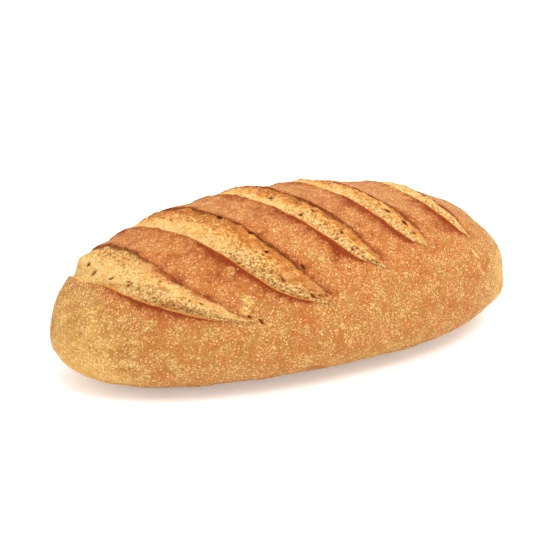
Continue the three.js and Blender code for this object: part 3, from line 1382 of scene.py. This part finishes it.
@dataclass
class RyeLoaf:
    """The loaf: one piece that stands for the solid."""

    node: str = "loaf"
    slashes: tuple[Slash, ...] = (
        Slash(x=-106.4, lean=44, hook=1770, tail=-0.27, tip=0.388, half=12.8, full=11, taper=0.11,
              lip=1.8, ear=4.6, depth=3.2, lean_over=1.1, crisp=0.11, toasted=0.32, columns=32,
              near_stop=-121),
        Slash(x=-57, lean=71.3, hook=1420, tail=-0.32, tip=0.38, half=14.1, full=11, taper=0.1,
              lip=1.9, ear=3.2, depth=3.6, lean_over=1.2, crisp=0.26, toasted=1.0, columns=34),
        Slash(x=-5.8, lean=74.9, hook=1725, tail=-0.32, tip=0.309, half=9.7, full=8, taper=0.08,
              lip=1.4, ear=3.7, depth=3, lean_over=1.1, crisp=0.2, toasted=1.0, columns=26),
        Slash(x=38, lean=55.5, hook=2125, tail=-0.31, tip=0.27, half=9.3, full=8, taper=0.05,
              lip=1.2, ear=1.8, depth=2.6, lean_over=1, crisp=0.18, toasted=0.9, columns=24),
        Slash(x=83.5, lean=20.8, hook=2800, tail=-0.28, tip=0.251, half=6.5, full=4.8, taper=0.09,
              lip=1, ear=2.2, depth=2.2, lean_over=0.9, crisp=0.2, toasted=0.4, columns=20),
    )
    # A spot's sixth number, where it has one, is painted shade in a hole's ground, or below 0 how pale
    # a flake is.
    spots: tuple[Spot, ...] = (
        Spot(-108.8, 0.085, 2.4, 1.2, -1.4, 0.6), Spot(-102.6, 0.151, 2, 1, -1.2, 0.7),
        Spot(-88.6, 0.235, 3.2, 2, -1.6, 0.25), Spot(-49.7, 0.37, 2, 1.5, -1.6, 0.7),
        Spot(-43.3, 0.389, 3.4, 1.1, -1.2, 0.9), Spot(-113.4, -0.052, 4, 1.5, -1.8, 0.6),
        Spot(-102.6, -0.056, 5, 1.4, -1.6, 0.65), Spot(-111.8, -0.175, 11, 7, 3.4),
        Spot(-41.7, 0.023, 3.6, 2.2, -2.4, 0.9), Spot(-33.9, 0.139, 3.2, 1.9, -2.2, 0.95),
        Spot(-32.3, 0.209, 1.6, 1.5, -1.6, 0.95), Spot(-37.9, 0.252, 2.2, 1.6, -1.4, 0.45),
        Spot(-28.3, 0.29, 2.6, 1.6, -1.5, 0.55), Spot(-15.9, 0.269, 3.6, 1.3, -1.5, 0.9),
        Spot(-14.1, 0.343, 2.4, 1.4, -1.4, 0.6), Spot(15.7, 0.243, 1.3, 1.1, -1.4, 0.8),
        Spot(-1.3, 0.1, 2, 1.6, -1.5, 0.8), Spot(-7.1, -0.03, 3.4, 2.2, -2.2, 0.95),
        Spot(31.3, -0.05, 3.2, 2.2, -2, 0.9), Spot(49.3, 0.135, 3, 1.7, -1.8, 0.9),
        Spot(54.3, 0.187, 3.4, 1.9, -2, 0.95), Spot(91, 0.077, 3.2, 1.7, -1.7, 0.9),
        Spot(96.6, 0.199, 2, 1, -1, 0.6), Spot(-53.9, 0.236, 2.6, 2.4, 1.1),
        Spot(108.2, 0.363, 2.2, 2, -0.8, 0.15), Spot(127, 0.286, 7, 5, -1.6),
        Spot(-53.9, 0.236, 3.6, 3.2, 0, -0.5), Spot(-9.5, 0.245, 5.5, 3.2, 0.3, -0.55),
        Spot(-4, 0.26, 3, 2.4, 0.3, -0.5), Spot(-49.7, 0.321, 6, 4, 0.4, -0.85),
        Spot(-52, 0.35, 4, 3, 0.4, -0.95), Spot(-99, 0.33, 2.6, 1.6, 0.5, -0.9),
        Spot(97.6, 0.235, 5, 1.6, 0.3, -0.7), Spot(97.8, 0.3, 6, 1.4, 0.3, -0.8),
        Spot(101, 0.37, 7, 1.5, 0.3, -0.7), Spot(107, 0.45, 6, 1.6, 0.3, -0.6),
        Spot(-122, -0.19, 7, 5, 0.7), Spot(-115, -0.19, 6, 2.4, -2.2), Spot(-12, 0.63, 9, 7, -1.6),
        Spot(-38, 0.66, 16, 12, 0.9), Spot(64, 0.62, 12, 9, -1.1), Spot(-130, -0.17, 18, 15, 2.2),
        Spot(122, 0.5, 20, 15, 1.9), Spot(113, -0.02, 18, 15, 1.6),
    )

    def build(self) -> bpy.types.Object:
        """Builds, dresses and places the loaf.

        Returns:
            The piece, riding on the root body in place of the solid.
        """
        low, high = (np.array(corner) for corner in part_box(self.node))
        size = (high - low) / MM
        form = LoafForm(length=float(size[0]), width=float(size[1]))
        skin = LoafSkin(form, self.slashes, self.spots)
        points, marks = skin.skin()
        points = np.clip(points * MM, low, high)
        half = form.length / 2.0 * MM
        level = form.widest_height * MM
        ends = (Vector((-half, 0.0, level)), Vector((half, 0.0, level)))
        piece = MeshMaker.closed_net("loaf_skin", points, ends)
        for mark, values in marks.items():
            at_ends = values[:, (0, -1)].mean(axis=0)
            MeshMaker.add_mark(piece, mark, values, at_ends)
        piece.data.materials.append(BakedFinish().make())
        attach(piece, "root")
        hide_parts(self.node)
        return piece


@dataclass(frozen=True)
class Studio:
    """White floor, white surroundings, one broad soft light, and the camera."""

    floor_half: float = 3.0
    floor_colour: Triple = (0.95, 0.95, 0.94)
    floor_roughness: float = 0.9
    floor_specular: float = 0.1
    floor_glow: float = 0.26
    surround: float = 1.1
    light_place: Triple = (0.1, -0.35, 1.2)
    light_width: float = 1.1
    light_power: float = 16.0
    camera_azimuth: float = -25.302
    camera_elevation: float = 23.726
    camera_distance: float = 0.84
    aim_height: float = 0.032667
    aim_left: float = 0.003486
    aim_up: float = 0.005855
    lens: float = 93.4
    sensor: float = 36.0
    sight: float = 20.0

    def floor(self) -> bpy.types.Object:
        """Builds the level floor.

        Returns:
            The floor: a square round the origin, which belongs to the stage.
        """
        half = self.floor_half
        mesh = bpy.data.meshes.new("floor")
        corners = [(-half, -half, 0.0), (half, -half, 0.0), (half, half, 0.0), (-half, half, 0.0)]
        mesh.from_pydata(corners, [], [(0, 1, 2, 3)])
        plane = bpy.data.objects.new("floor", mesh)
        bench = Bench("floor_white")
        bench.feed(bench.shader, {
            "Base Color": (*self.floor_colour, 1.0), "Roughness": self.floor_roughness,
            "Specular IOR Level": self.floor_specular, "Emission Color": (1.0, 1.0, 1.0, 1.0),
            "Emission Strength": self.floor_glow,
        })
        mesh.materials.append(bench.material)
        bpy.context.scene.collection.objects.link(plane)
        return plane

    def light(self) -> bpy.types.Object:
        """Lights the white surroundings and the broad lamp overhead.

        Returns:
            The lamp, which points at the origin.
        """
        world = bpy.data.worlds.new("studio")
        world.use_nodes = True
        back = world.node_tree.nodes["Background"]
        back.inputs["Color"].default_value = (1.0, 1.0, 1.0, 1.0)
        back.inputs["Strength"].default_value = self.surround
        bpy.context.scene.world = world
        lamp = bpy.data.lights.new("overhead", "AREA")
        lamp.shape = "DISK"
        lamp.size = self.light_width
        lamp.energy = self.light_power
        holder = bpy.data.objects.new("overhead", lamp)
        holder.location = self.light_place
        holder.rotation_euler = (-Vector(self.light_place)).to_track_quat("-Z", "Y").to_euler()
        bpy.context.scene.collection.objects.link(holder)
        return holder

    def camera(self) -> bpy.types.Object:
        """The camera, at the photograph's angle and distance.

        Returns:
            The camera. It looks past the loaf's middle by aim_left and aim_up, so that the loaf
            falls where the photograph has it.
        """
        turn = math.radians(self.camera_azimuth)
        lift = math.radians(self.camera_elevation)
        level = math.cos(lift)
        back = Vector((math.sin(turn) * level, -math.cos(turn) * level, math.sin(lift)))
        right = Vector((math.cos(turn), math.sin(turn), 0.0))
        up = back.cross(right)
        middle = Vector((0.0, 0.0, self.aim_height))
        place = middle + back * self.camera_distance
        target = middle - right * self.aim_left + up * self.aim_up
        data = bpy.data.cameras.new("camera")
        data.lens = self.lens
        data.sensor_width = self.sensor
        data.clip_end = self.sight
        camera = bpy.data.objects.new("camera", data)
        camera.location = place
        camera.rotation_euler = (target - place).to_track_quat("-Z", "Y").to_euler()
        bpy.context.scene.collection.objects.link(camera)
        bpy.context.scene.camera = camera
        return camera


def main() -> None:
    """Builds the studio and the loaf."""
    logging.basicConfig(level=logging.INFO)
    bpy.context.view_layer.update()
    studio = Studio()
    for prop in (studio.camera(), studio.light(), studio.floor()):
        LOG.info("studio: %s", prop.name)
    bpy.context.scene.view_settings.view_transform = "Standard"
    piece = RyeLoaf().build()
    LOG.info("%s: %d faces", piece.name, len(piece.data.polygons))
    bpy.context.view_layer.update()


if __name__ == "__main__":
    main()
